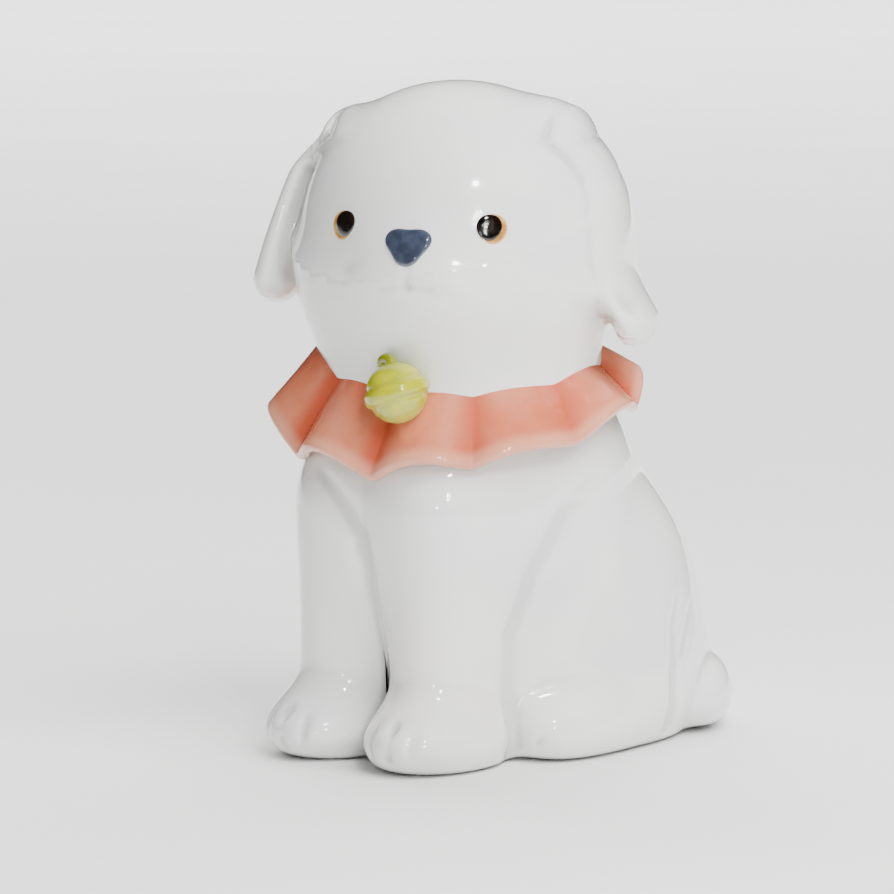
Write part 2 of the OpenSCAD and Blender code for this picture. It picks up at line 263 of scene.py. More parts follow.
# Each ear is measured from the head, from tip to root: the height, how far out and how far back
# the middle of the ear is there, half its thickness and half its width. The dog's left ear lies
# close to the cheek and kicks out at its tip, and the right one hangs free.
EAR_MEASURED_AT = 85.0            # the ear's top, in the tables' own heights
ear_top = ear_high[2] - EAR_MEASURED_AT
RIGHT_EAR = [(61.0, 25.2, 1.5, 2.9, 7.2), (65.5, 24.1, 2.0, 2.5, 7.8), (70.5, 22.9, 3.0, 2.1, 7.4),
             (75.7, 21.3, 3.5, 1.9, 6.4), (78.0, 19.2, 3.7, 1.5, 5.4), (79.8, 16.0, 4.0, 1.1, 4.6)]
LEFT_EAR = [(56.9, 24.0, 0.5, 2.3, 7.4), (58.5, 22.7, 1.0, 2.3, 7.9), (60.2, 21.4, 1.5, 2.3, 8.1),
            (63.0, 20.2, 2.2, 2.3, 8.0), (68.0, 19.8, 2.8, 2.3, 7.8), (73.1, 18.9, 3.5, 2.1, 7.0),
            (77.8, 16.4, 4.0, 1.6, 5.6), (79.6, 13.8, 4.0, 1.1, 4.6)]
EAR_ENDS = (3.9, 2.2)             # how far the rounded tip and root reach past those heights
EAR_ROWS, EAR_PASSES, EAR_SPAN = 61, 3, 7    # rows, and how often and how widely they are smoothed
ROOT_HEIGHT, ROOT_DEEP = 75.0, 5.0           # from here up an ear melts more widely into the head
RIGHT_MELT, LEFT_MELT = (2.2, 4.8), (4.0, 4.0)    # the ear's own width of join, and what is added


def flowing(stations):
    """The stations' values at close heights, smoothed so that the ear has no corners."""
    rows = np.array(stations).T
    heights = np.linspace(rows[0][0], rows[0][-1], EAR_ROWS)
    table = [heights + ear_top]
    for row in rows[1:]:
        line = np.interp(heights, rows[0], row)
        for _ in range(EAR_PASSES):
            padded = np.pad(line, EAR_SPAN // 2, mode="reflect", reflect_type="odd")
            line = np.convolve(padded, np.full(EAR_SPAN, 1 / EAR_SPAN), mode="valid")
        table.append(line)
    return table


right_ear_table, left_ear_table = flowing(RIGHT_EAR), flowing(LEFT_EAR)


def ear(points, table, side):
    """An oval cross-section at every height; side is 1 for the dog's left and -1 for its right."""
    near = to_head(points) * np.array([side, 1.0, 1.0])
    heights = table[0]
    level = np.clip(near[:, 2], heights[0], heights[-1])
    out, back, thick, wide = (np.interp(level, heights, row) for row in table[1:])
    end = np.where(near[:, 2] < heights[0], EAR_ENDS[0], EAR_ENDS[1])
    away = np.stack([near[:, 0] - out, near[:, 1] - back, near[:, 2] - level], 1)
    return oval_form(away, np.stack([thick, wide, end], 1))


def forelegs(points):
    """Upright legs and their paws, with three creases between the toes."""
    both = mirrored(points)
    leg = limb(both, (leg_x, leg_y, 0), (leg_x, leg_y, shoulder_z), LEG[1] / 2, LEG[1] / 2,
               (LEG[0] / LEG[1], 1, 1))
    form = blend(leg, oval(both, paw_at, PAW), PAW_MELT)
    front = paw_at[1] - PAW[1] / 2
    for aside, depth in ((-2.7, 0.4), (0.5, 0.5), (3.7, 0.4)):
        x = paw_at[0] + aside
        form = form + stroke(both, [(x, front + 2.0, 7.0, depth), (x, front, 1.0, depth)], 0.7)
    return form


def hind_paws(points):
    both = mirrored(points)
    form = oval(both, hind_at, HIND_PAW)
    front = hind_at[1] - HIND_PAW[1] / 2
    for aside in (-1.8, 1.6):
        x = hind_at[0] + aside
        form = form + stroke(both, [(x, front + 2.5, 6.5, 0.25), (x, front, 2.0, 0.25)], 0.7)
    return form


# The tail's lobes: how far round the foot of the body each lies, its length and its height
TAIL_LOBES = [(8, 15.0, 7.5), (26, 17.0, 9.0), (48.5, 20.5, 11.0)]
TAIL_WIDTH = 11.2


def tail_place(turn, high):
    angle = math.radians(turn)
    return angle, np.array([SEAT[0] / 2 * math.sin(angle),
                            seat_at[1] + SEAT[1] / 2 * math.cos(angle), high / 2 - 0.6])


def tail(points):
    """Lobes that lie round the foot of the body, the last one being the rounded tip."""
    form = None
    for turn, length, high in TAIL_LOBES:
        angle, at = tail_place(turn, high)
        lobe = oval(turned(points - at, angle), np.zeros(3), (length, TAIL_WIDTH, high))
        form = lobe if form is None else blend(form, lobe, LOBE_MELT)
    return form


def puppy(points):
    """The whole white figure."""
    form = blend(joined(points), forelegs(points), LEG_MELT)
    form = blend(form, hind_paws(points), HIND_MELT) + folds(points)
    form = blend(form, tail(points), TAIL_MELT)
    root = np.clip((points[:, 2] - ear_top - ROOT_HEIGHT) / ROOT_DEEP, 0, 1)
    form = blend(form, ear(points, right_ear_table, -1), RIGHT_MELT[0] + RIGHT_MELT[1] * root)
    form = blend(form, ear(points, left_ear_table, 1), LEFT_MELT[0] + LEFT_MELT[1] * root)
    return trim(form, -points[:, 2], FOOT_ROUND)


def slope_of(points, form, step=0.04):
    """Which way, and how fast, a form's value rises at each point."""
    slope = np.zeros_like(points)
    for axis in range(3):
        shift = np.zeros(3)
        shift[axis] = step
        slope[:, axis] = (form(points + shift) - form(points - shift)) / (2 * step)
    return slope


def settle(points, form, level=0.0, rounds=6):
    """Slides points along the slope until the form's value is the level."""
    for _ in range(rounds):
        slope = slope_of(points, form)
        step = (form(points) - level) / np.maximum((slope ** 2).sum(1), 0.25)
        points = points - slope * np.clip(step, -1.2, 1.2)[:, None]
    return points


probe = np.array([[0.0, neck_at[1], head_high[2]]])
print("value at the crown:", puppy(probe).round(3))

# %% [markdown]
# ## From rough lumps to a skin
# Rough ovals are put where the lumps are, joined into one closed skin with even squares, and
# that skin is settled onto the form. The squares are relaxed between rounds, so none is pinched.

# %%
VOXEL = 0.6    # the side of the skin's even squares, in mm
LIMB_OVALS = 6                    # rough ovals stacked up for one foreleg
HEAD_PLACE = Matrix.Translation((neck_at[0], neck_at[1], 0)) @ Matrix.Rotation(HEAD_TURN, 4, "Z")
NECK_PLACE = Matrix.Translation(neck_at) @ Matrix.Rotation(NECK_SLOPE, 4, "X")


def add_oval(bm, at, size, place=Matrix.Identity(4)):
    shape = Matrix.Translation(Vector(at)) @ Matrix.Diagonal((*(np.asarray(size) / 2), 1))
    bmesh.ops.create_uvsphere(bm, u_segments=32, v_segments=16, radius=1, matrix=place @ shape)


def rough_trunk(bm):
    add_oval(bm, rump_at, RUMP)
    add_oval(bm, chest_at, CHEST)
    add_oval(bm, seat_at, SEAT)
    add_oval(bm, skull_at, SKULL, HEAD_PLACE)
    add_oval(bm, cheeks_at, CHEEKS, HEAD_PLACE)
    add_oval(bm, muzzle_at, MUZZLE, HEAD_PLACE)
    for side in (1, -1):
        add_oval(bm, haunch_at * [side, 1, 1], HAUNCH)
    bmesh.ops.create_cone(bm, cap_ends=True, segments=48, radius1=NECK_WIDTH / 2,
                          radius2=NECK_WIDTH / 2, depth=22, matrix=NECK_PLACE)


def rough_limbs(bm):
    for side in (1, -1):
        for z in np.linspace(0, shoulder_z, LIMB_OVALS):
            add_oval(bm, (side * leg_x, leg_y, z), (LEG[0], LEG[1], LEG[1]))
        add_oval(bm, paw_at * [side, 1, 1], PAW)
        add_oval(bm, hind_at * [side, 1, 1], HIND_PAW)
        for z, x, y, thick, wide in zip(*(left_ear_table if side > 0 else right_ear_table)):
            add_oval(bm, (side * x, y, z), (2 * thick, 2 * wide, EAR_ENDS[0]), HEAD_PLACE)
    for turn, length, high in TAIL_LOBES:
        angle, at = tail_place(turn, high)
        place = Matrix.Translation(at) @ Matrix.Rotation(-angle, 4, "Z")
        add_oval(bm, (0, 0, 0), (length, TAIL_WIDTH, high), place)


def evaluated(obj):
    """The object's mesh with its modifiers applied, and the object gone."""
    graph = bpy.context.evaluated_depsgraph_get()
    mesh = bpy.data.meshes.new_from_object(obj.evaluated_get(graph))
    bpy.data.objects.remove(obj)
    return mesh


def as_object(name, mesh):
    obj = bpy.data.objects.new(name, mesh)
    bpy.context.scene.collection.objects.link(obj)
    return obj


def from_bmesh(name, bm):
    mesh = bpy.data.meshes.new(name)
    bm.to_mesh(mesh)
    bm.free()
    return mesh


def positions(mesh):
    co = np.zeros(len(mesh.vertices) * 3)
    mesh.vertices.foreach_get("co", co)
    return co.reshape(-1, 3)


def place_points(mesh, points):
    mesh.vertices.foreach_set("co", points.astype(np.float32).ravel())
    mesh.update()


def relax(points, edges, share=0.4):
    """Moves each point a share of the way to the mean of its neighbours."""
    total, count = np.zeros_like(points), np.zeros(len(points))
    for a, b in ((0, 1), (1, 0)):
        for axis in range(3):
            total[:, axis] += np.bincount(edges[:, a], points[edges[:, b], axis], len(points))
        count += np.bincount(edges[:, a], minlength=len(points))
    return points + share * (total / count[:, None] - points)


def skin(name, builders, form, level=0.0):
    """Rough lumps joined into one closed skin and settled onto the form."""
    bm = bmesh.new()
    for build in builders:
        build(bm)
    rough = as_object(name, from_bmesh(name, bm))
    remesh = rough.modifiers.new("even_squares", "REMESH")
    remesh.mode, remesh.voxel_size, remesh.adaptivity = "VOXEL", VOXEL, 0.0
    mesh = evaluated(rough)
    points = positions(mesh)
    edges = np.zeros(len(mesh.edges) * 2, int)
    mesh.edges.foreach_get("vertices", edges)
    edges = edges.reshape(-1, 2)
    for _ in range(3):
        points = settle(points, form, level, 3)
        points = relax(points, edges)
    points = settle(points, form, level, 4)
    place_points(mesh, points)
    off = np.abs(form(points) - level)
    print(f"{name}: {len(points)} points, furthest from the form {off.max():.3f} mm")
    return mesh


figure_skin = skin("figure", [rough_trunk, rough_limbs], puppy)
CORE_COAT = 0.3                   # limbs part from the trunk this far above its skin, in mm
core_skin = skin("core", [rough_trunk], core, CORE_COAT)

# %% [markdown]
# ## Casting and luting
# The core is the trunk alone, a little thicker than its skin. What lies outside it is cut into
# ears, forelegs, hind paws and tail, and what lies inside is the trunk, cut at the neck into
# body and head. Each is a closed lump, and body and head are hollow as castings are. Because all
# of them come from one skin, the glaze runs over their joins without a step.

# %%
WALL = 3.0
FAR = 120.0                       # beyond everything, for blocks that cut
SCRAP = 2.0                       # cubic millimetres: slivers smaller than this are dropped
VENT_RADIUS, VENT_DEEP = 2.5, 12.0
WALL_ROUNDS = 12                  # steps that take the hollow from the skin to its depth


def combined(first, second, how):
    """Union, difference or intersection of two closed meshes, as a new mesh."""
    holder, tool = as_object("first", first.copy()), as_object("second", second)
    cut = holder.modifiers.new("cut", "BOOLEAN")
    cut.object, cut.operation, cut.solver = tool, how, "MANIFOLD"
    mesh = evaluated(holder)
    bpy.data.objects.remove(tool)
    return mesh


def block(low, high, place=Matrix.Identity(4)):
    bm = bmesh.new()
    low, high = Vector(low), Vector(high)
    shape = Matrix.Translation((low + high) / 2) @ Matrix.Diagonal((*(high - low), 1))
    bmesh.ops.create_cube(bm, size=1, matrix=place @ shape)
    return from_bmesh("block", bm)


def cone_volume(face):
    """The signed volume between a face and the origin."""
    first, rest = face.verts[0].co, [v.co for v in face.verts[1:]]
    return sum(first.dot(a.cross(b)) for a, b in zip(rest[:-1], rest[1:])) / 6


def without_scraps(mesh):
    """The mesh without its loose slivers."""
    bm = bmesh.new()
    bm.from_mesh(mesh)
    bm.verts.ensure_lookup_table()
    seen = np.zeros(len(bm.verts), bool)
    scraps = []
    for seed in bm.verts:
        if seen[seed.index]:
            continue
        island, front = [], [seed]
        seen[seed.index] = True
        while front:
            vert = front.pop()
            island.append(vert)
            for edge in vert.link_edges:
                other = edge.other_vert(vert)
                if not seen[other.index]:
                    seen[other.index] = True
                    front.append(other)
        faces = {face for vert in island for face in vert.link_faces}
        volume = sum(cone_volume(face) for face in faces)
        if abs(volume) < SCRAP:
            scraps += island
    bmesh.ops.delete(bm, geom=scraps, context="VERTS")
    return from_bmesh(mesh.name, bm)


limbs = combined(figure_skin, core_skin.copy(), "DIFFERENCE")
trunk = combined(figure_skin, core_skin.copy(), "INTERSECT")

hollow = core_skin.copy()
place_points(hollow, settle(positions(hollow), core, -WALL, WALL_ROUNDS))

split_y = (leg_high[1] + hind_low[1]) / 2
behind_paws = hind_high[1] + 4.0
knee_z = neck_at[2] - 4.0
ground = -5.0
PARTS = {
    "left_foreleg": ((0, -FAR, ground), (FAR, split_y, knee_z)),
    "right_foreleg": ((-FAR, -FAR, ground), (0, split_y, knee_z)),
    "left_hind_paw": ((0, split_y, ground), (FAR, behind_paws, knee_z / 2)),
    "right_hind_paw": ((-FAR, split_y, ground), (0, behind_paws, knee_z / 2)),
    "tail": ((-FAR, behind_paws, ground), (FAR, FAR, knee_z / 2)),
    "left_ear": ((0, -FAR, knee_z), (FAR, FAR, FAR)),
    "right_ear": ((-FAR, -FAR, knee_z), (0, FAR, FAR)),
}
made = {}
for name, (low, high) in PARTS.items():
    place = HEAD_PLACE if name.endswith("ear") else Matrix.Identity(4)
    made[name] = without_scraps(combined(limbs, block(low, high, place), "INTERSECT"))

above = block((-FAR, -FAR, 0), (FAR, FAR, FAR), NECK_PLACE)
below = block((-FAR, -FAR, -FAR), (FAR, FAR, 0), NECK_PLACE)
inner_above = block((-FAR, -FAR, WALL), (FAR, FAR, FAR), NECK_PLACE)
inner_below = block((-FAR, -FAR, -FAR), (FAR, FAR, -WALL), NECK_PLACE)
head_mesh = combined(trunk, above, "INTERSECT")
body_mesh = combined(trunk, below, "INTERSECT")
head_mesh = combined(head_mesh, combined(hollow, inner_above, "INTERSECT"), "DIFFERENCE")
body_mesh = combined(body_mesh, combined(hollow, inner_below, "INTERSECT"), "DIFFERENCE")
bm = bmesh.new()
bmesh.ops.create_cone(bm, cap_ends=True, segments=48, radius1=VENT_RADIUS, radius2=VENT_RADIUS,
                      depth=VENT_DEEP, matrix=Matrix.Translation((0, rump_at[1], 0)))
body_mesh = combined(body_mesh, from_bmesh("vent", bm), "DIFFERENCE")
made["body_casting"] = without_scraps(body_mesh)
made["head_casting"] = without_scraps(head_mesh)
for name, mesh in made.items():
    print(f"{name}: {len(mesh.polygons)} faces")

# %% [markdown]
# ## Painted shade in the hollows
# How hollow the skin is at each point is measured from the form and kept with the mesh, for the
# finish to darken the hollows with painted shade. The light on the skin also follows the form,
# and not the little faces.

# %%
BARE_HEIGHT = 0.15                # the foot is wiped clean of glaze this far up, in mm
HOLLOW_SHADE = 1.6                     # how strongly a hollow is darkened with painted shade
FACE_NEAR, POINT_NEAR = 0.12, 0.06    # outer skin lies this close to the form, in mm
FACES_OUT = 0.6                   # and its faces look at least this squarely outwards
FACES_DOWN = -0.9                 # the foot's faces look at least this squarely down


def unit_slope(points, form):
    slope = slope_of(points, form)
    return slope / (np.linalg.norm(slope, axis=1, keepdims=True) + 1e-9)


def curvature(points, form, step=0.9):
    """Above zero on crests, below zero in hollows."""
    total = -6 * form(points)
    for axis in range(3):
        for way in (step, -step):
            shift = np.zeros(3)
            shift[axis] = way
            total = total + form(points + shift)
    return total / step ** 2


def keep_values(mesh, name, values):
    layer = mesh.attributes.new(name, "FLOAT", "POINT")
    layer.data.foreach_set("value", np.asarray(values, np.float32))


def glazed_piece(name, mesh, form):
    """Keeps the hollows, lights the skin by its form and scales the mesh to metres."""
    points = positions(mesh)
    value = form(points)
    slope = unit_slope(points, form)
    # How hollow each point is, kept for the painted shade in the white finish.
    keep_values(mesh, "hollow_shade_and_pool", np.clip(-curvature(points, form) * HOLLOW_SHADE, 0, 1))
    corner_vert = np.zeros(len(mesh.loops), int)
    mesh.loops.foreach_get("vertex_index", corner_vert)
    face_normal = np.zeros(len(mesh.polygons) * 3)
    mesh.polygons.foreach_get("normal", face_normal)
    face_normal = face_normal.reshape(-1, 3)
    centre = np.zeros(len(mesh.polygons) * 3)
    mesh.polygons.foreach_get("center", centre)
    centre = centre.reshape(-1, 3)
    sizes = np.zeros(len(mesh.polygons), int)
    mesh.polygons.foreach_get("loop_total", sizes)
    corner_face = np.repeat(np.arange(len(sizes)), sizes)
    facing = (unit_slope(centre, form) * face_normal).sum(1)
    outside = (np.abs(form(centre)) < FACE_NEAR) & (facing > FACES_OUT)
    on_skin = outside[corner_face] & (np.abs(value[corner_vert]) < POINT_NEAR)
    normals = np.where(on_skin[:, None], slope[corner_vert], face_normal[corner_face])
    bare = (face_normal[:, 2] < FACES_DOWN) & (centre[:, 2] < BARE_HEIGHT)
    mesh.polygons.foreach_set("material_index", bare.astype(np.int32))
    mesh.polygons.foreach_set("use_smooth", np.ones(len(sizes), bool))
    place_points(mesh, points / MM)
    mesh.normals_split_custom_set(normals.tolist())
    piece = as_object("glazed_" + name, mesh)
    print(f"{name}: {outside.mean():.0%} of the faces are outer skin")
    return piece


pieces = {name: glazed_piece(name, mesh, puppy) for name, mesh in made.items()}

# %% [markdown]
# ## The ruffled collar
# The collar is a ribbon of rolled clay, gathered round the neck while soft. It falls outwards in
# uneven pleats with thick, rounded hems. One cross-section is run round the neck, and is raised
# and drawn out by a wave of broad, rounded puffs with narrow folds between them.

# %%
collar_low, collar_high = corners("ruffled_collar")
RIBBON = 1.4                      # the ribbon's thickness
COLLAR_RADIUS = (collar_high[0] - collar_low[0]) / 2 - RIBBON / 2
COLLAR_INNER = NECK_WIDTH / 2 - 1.2
COLLAR_DROP = 7.0                 # how much lower the hem is than the neck's edge
PLEATS = 10
PLEAT_HEIGHT, PLEAT_REACH = 1.7, 0.7
FIRST_FOLD = math.radians(-42)    # one of the folds lies here, round the neck
FRONT_RISE = 3.2                  # how much higher the ribbon starts at the front
LIFT_AT, LIFT_WIDE, LIFT = math.radians(215), 0.55, (3.2, 0.6)    # a pleat that is pushed up
AROUND, ACROSS, HEM = 440, 22, 7  # points round the neck, across the ribbon, and round the hem


def pleat_wave(angle):
    """Rounded puffs with a narrow fold between each two, larger on some sides than on others."""
    phase = PLEATS / 2 * (angle - FIRST_FOLD) + 0.25 * np.sin(2 * angle + 2.4)
    puff = (np.sin(phase) ** 2 + 0.012) ** 0.56 * 2 - 1.15
    return puff * (0.8 - 0.3 * np.cos(angle - 0.2) + 0.15 * np.sin(3 * angle))


def ribbon_middle(part, angle):
    """The middle of the ribbon: part runs from 0 at the neck to 1 at the hem."""
    wave = pleat_wave(angle + 0.1 * part)
    reach = COLLAR_RADIUS - 0.6 + 0.9 * np.cos(angle + 2.3) + PLEAT_REACH * wave
    radius = COLLAR_INNER + part * (reach - COLLAR_INNER)
    height = -COLLAR_DROP * part ** 1.1 + PLEAT_HEIGHT * part ** 1.2 * wave
    height = height + FRONT_RISE * (1 - part) * (0.5 - 0.5 * np.sin(angle + 0.6))
    aside = (angle - LIFT_AT + math.pi) % (2 * math.pi) - math.pi
    lifted = np.exp(-(aside / LIFT_WIDE) ** 2)
    height = height + lifted * (LIFT[0] - LIFT[1] * part) + 0.2 * part * np.sin(7 * angle + 1.3)
    return np.stack([radius * np.cos(angle), radius * np.sin(angle), height], -1)


angles = np.linspace(0, 2 * math.pi, AROUND, endpoint=False)
shares = np.linspace(0, 1, ACROSS) ** 0.9
centre_sheet = np.array([ribbon_middle(share, angles) for share in shares])
to_hem = np.gradient(centre_sheet, axis=0)
to_side = (np.roll(centre_sheet, -1, 1) - np.roll(centre_sheet, 1, 1)) / 2
across = np.cross(to_hem, to_side)
across /= np.linalg.norm(across, axis=2, keepdims=True)
outward = to_hem[-1] / np.linalg.norm(to_hem[-1], axis=1, keepdims=True)
half = RIBBON / 2 * (0.85 + 0.25 * shares)[:, None, None]
rows = [centre_sheet[i] + across[i] * half[i] for i in range(ACROSS)]
for i in range(1, HEM):
    turn = math.pi * i / HEM
    rows.append(centre_sheet[-1] + (across[-1] * math.cos(turn) + outward * math.sin(turn)) * half[-1])
rows += [centre_sheet[i] - across[i] * half[i] for i in range(ACROSS - 1, -1, -1)]
depth = np.concatenate([shares, np.full(HEM - 1, 1.0), shares[::-1]])
print("ribbon rows:", len(rows))

bm = bmesh.new()
rings = [[bm.verts.new(NECK_PLACE @ Vector(co)) for co in row] for row in rows]
for first, second in zip(rings, rings[1:] + rings[:1]):
    for i in range(AROUND):
        j = (i + 1) % AROUND
        bm.faces.new((first[i], first[j], second[j], second[i]))
bmesh.ops.recalc_face_normals(bm, faces=bm.faces[:])
collar_mesh = from_bmesh("ruffled_collar", bm)
wave_here = pleat_wave(np.tile(angles, len(rows)) + 0.1 * np.repeat(depth, AROUND))
keep_values(collar_mesh, "hem", np.repeat(depth, AROUND))
# The folds between the puffs, kept for the painted shade in the coral finish.
keep_values(collar_mesh, "hollow_shade_and_pool", np.clip(0.4 - 0.7 * wave_here, 0, 1))
collar_mesh.polygons.foreach_set("use_smooth", np.ones(len(collar_mesh.polygons), bool))
place_points(collar_mesh, positions(collar_mesh) / MM)
pieces["ruffled_collar"] = as_object("glazed_ruffled_collar", collar_mesh)

# %% [markdown]
# ## The bell and its loop
# The bell is a pea of clay with a pressed band round its middle, hung by a small loop. Its
# outline is drawn on one side and spun round its own axis.

# %%
bell_low, bell_high = corners("bell")
BAND_PROUD, BAND_HALF = 0.35, 0.95    # the band round the middle
EDGE_AT, EDGE_WIDE, EDGE_DEEP = 1.25, 0.3, 0.12    # and the lines pressed on both sides of it
BELL_STEPS = 48
LOOP_TUBE, LOOP_SHRINK, LOOP_SUNK = 0.8, 0.25, 1.0
bell_radius = (bell_high[2] - bell_low[2]) / 2
BELL_PLACE = (Matrix.Translation(middle("bell") - np.array([0.5, 0.2, 1.1]))
              @ Matrix.Rotation(NECK_SLOPE, 4, "X") @ Matrix.Rotation(math.radians(-22), 4, "Y")
              @ Matrix.Rotation(math.radians(-8), 4, "X"))


def spun(name, outline, steps, place, closed=False):
    """An outline of (distance from the axis, height) points, spun into a closed piece."""
    bm = bmesh.new()
    verts = [bm.verts.new((r, 0, z)) for r, z in outline]
    pairs = list(zip(verts[:-1], verts[1:])) + ([(verts[-1], verts[0])] if closed else [])
    edges = [bm.edges.new(pair) for pair in pairs]
    bmesh.ops.spin(bm, geom=verts + edges, cent=(0, 0, 0), axis=(0, 0, 1), dvec=(0, 0, 0),
                   angle=2 * math.pi, steps=steps, use_merge=True, use_duplicate=False)
    bmesh.ops.remove_doubles(bm, verts=bm.verts[:], dist=1e-4)
    bmesh.ops.recalc_face_normals(bm, faces=bm.faces[:])
    bmesh.ops.transform(bm, matrix=place, verts=bm.verts[:])
    for face in bm.faces:
        face.smooth = True
    return from_bmesh(name, bm)


bell_outline = []
for step in range(BELL_STEPS + 1):
    tilt = math.pi * (step / BELL_STEPS - 0.5)
    height = math.sin(tilt) * bell_radius
    band = math.exp(-(height / BAND_HALF) ** 6) * BAND_PROUD
    pressed = EDGE_DEEP * math.exp(-((abs(height) - EDGE_AT) / EDGE_WIDE) ** 2)
    bell_outline.append((max(math.cos(tilt) * bell_radius + band - pressed, 0), height))
bell_outline[0] = (0, -bell_radius)
bell_outline[-1] = (0, bell_radius)
bell_mesh = spun("bell", bell_outline, 96, BELL_PLACE)
loop_low, loop_high = corners("bell_loop")
loop_radius = (loop_high[2] - loop_low[2]) / 2 - LOOP_TUBE - LOOP_SHRINK
ring = [(loop_radius + LOOP_TUBE * math.cos(a), LOOP_TUBE * math.sin(a))
        for a in np.linspace(0, 2 * math.pi, 24, endpoint=False)]
LOOP_PLACE = (BELL_PLACE @ Matrix.Translation((0, 0, bell_radius + loop_radius - LOOP_SUNK))
              @ Matrix.Rotation(math.pi / 2, 4, "X"))
loop_mesh = spun("bell_loop", ring, 64, LOOP_PLACE, closed=True)
for name, mesh in (("bell", bell_mesh), ("bell_loop", loop_mesh)):
    points = positions(mesh)
    local = (np.linalg.inv(np.array(BELL_PLACE)) @ np.c_[points, np.ones(len(points))].T).T
    # How high and how far to one side each point is, for the painted shade and painted reflection in
    # the bell's finish.
    keep_values(mesh, "up", local[:, 2] / bell_radius)
    keep_values(mesh, "side", local[:, 0] / bell_radius)
    # The pressed lines beside the band, for a duller glaze tint there, a little darker as painted
    # shade.
    keep_values(mesh, "hollow_shade_and_pool", np.exp(-((np.abs(local[:, 2]) - 1.3) / 0.5) ** 2))
    place_points(mesh, points / MM)
    pieces[name] = as_object("glazed_" + name, mesh)
print("bell radius", round(bell_radius, 2), "loop radius", round(loop_radius, 2))

# %% [markdown]
# ## Eyes and nose
# They are drops of coloured enamel, laid on with a brush and domed by their own surface tension.
# A ball of radius one is flattened to the drop's outline, then every point is slid straight in
# onto the face and raised by the drop's own height there.

# %%
AHEAD = 12.0                      # the drop starts this far in front of the face
SLIDE_ROUNDS, SLIDE_SHARE = 40, 0.85
SUNK = 0.25                       # how deep the drop's underside lies below the face
PUPIL_LIFT = 0.06                 # a pupil starts this far above the face, over its iris

# Half width, half height and how high the drop is domed
IRIS, PUPIL, NOSE = (1.92, 1.95, 0.07), (1.62, 1.68, 0.3), (3.05, 2.55, 0.55)


def drop(name, node, size, outline, lift=0.0):
    """A domed spot on the face, centred where the solid of that node is."""
    half_width, half_height, rise = size
    at = middle(node) + np.array([neck_at[0], 0.0, 0.0])
    out = at - np.array([neck_at[0], neck_at[1], at[2]])
    out /= np.linalg.norm(out)
    side = np.array([-out[1], out[0], 0.0])
    up = np.array([0.0, 0.0, 1.0])
    bm = bmesh.new()
    bmesh.ops.create_uvsphere(bm, u_segments=64, v_segments=32, radius=1)
    mesh = from_bmesh(name, bm)
    unit = positions(mesh)
    reach = np.minimum(np.sqrt(unit[:, 0] ** 2 + unit[:, 1] ** 2), 1)
    angle = np.arctan2(unit[:, 1], unit[:, 0])
    spread = outline(angle)
    flat_x = (reach * np.cos(angle) * spread) * half_width
    flat_y = (reach * np.sin(angle) * spread) * half_height
    points = at + AHEAD * out + flat_x[:, None] * side + flat_y[:, None] * up
    for _ in range(SLIDE_ROUNDS):
        points = points - out * core(points)[:, None] * SLIDE_SHARE
    slope = slope_of(points, core)
    slope /= np.linalg.norm(slope, axis=1, keepdims=True)
    dome = np.sqrt(np.clip(1 - reach ** 2, 0, 1)) ** 0.8
    raised = np.where(unit[:, 2] > 0, dome * rise + lift, -SUNK * dome)
    points = points + slope * raised[:, None]
    keep_values(mesh, "rim", reach)
    mesh.polygons.foreach_set("use_smooth", np.ones(len(mesh.polygons), bool))
    place_points(mesh, points / MM)
    bm = bmesh.new()
    bm.from_mesh(mesh)
    bmesh.ops.recalc_face_normals(bm, faces=bm.faces[:])
    bm.to_mesh(mesh)
    bm.free()
    return as_object(name, mesh)


def brushed_spot(angle):
    """A round spot, a little uneven."""
    return 1 + 0.03 * np.sin(2 * angle + 0.7) + 0.02 * np.sin(3 * angle)


def nose_spot(angle):
    """A rounded triangle with its tip down."""
    return 0.93 + 0.13 * np.cos(3 * (angle + math.pi / 2)) + 0.03 * np.cos(2 * angle)


for word in ("left", "right"):
    for part, size, lift in (("_iris", IRIS, 0.0), ("_pupil", PUPIL, PUPIL_LIFT)):
        node = word + part
        pieces[node] = drop("enamel_" + node, node, size, brushed_spot, lift)
pieces["nose"] = drop("enamel_nose", "nose", NOSE, nose_spot)
print("pieces:", sorted(pieces))

# %% [markdown]
# ## Finishes
# All the finishes are glass fired over clay: a coloured layer with a clear, very smooth coat.
# Slow noise varies the colour and the polish as a dipped glaze does, fine noise gives the faint
# ripple that breaks up reflections, and the stored hollows darken or deepen the colour as painted
# shade. On the bell, painted shade darkens the top and one side and a painted reflection lightens
# the underside.

# %%
def linear(*rgb):
    """A colour given as eight-bit screen values, as the shader wants it."""
    return tuple(c / 12.92 if c <= 0.04045 else ((c + 0.055) / 1.055) ** 2.4
                 for c in (v / 255 for v in rgb)) + (1.0,)


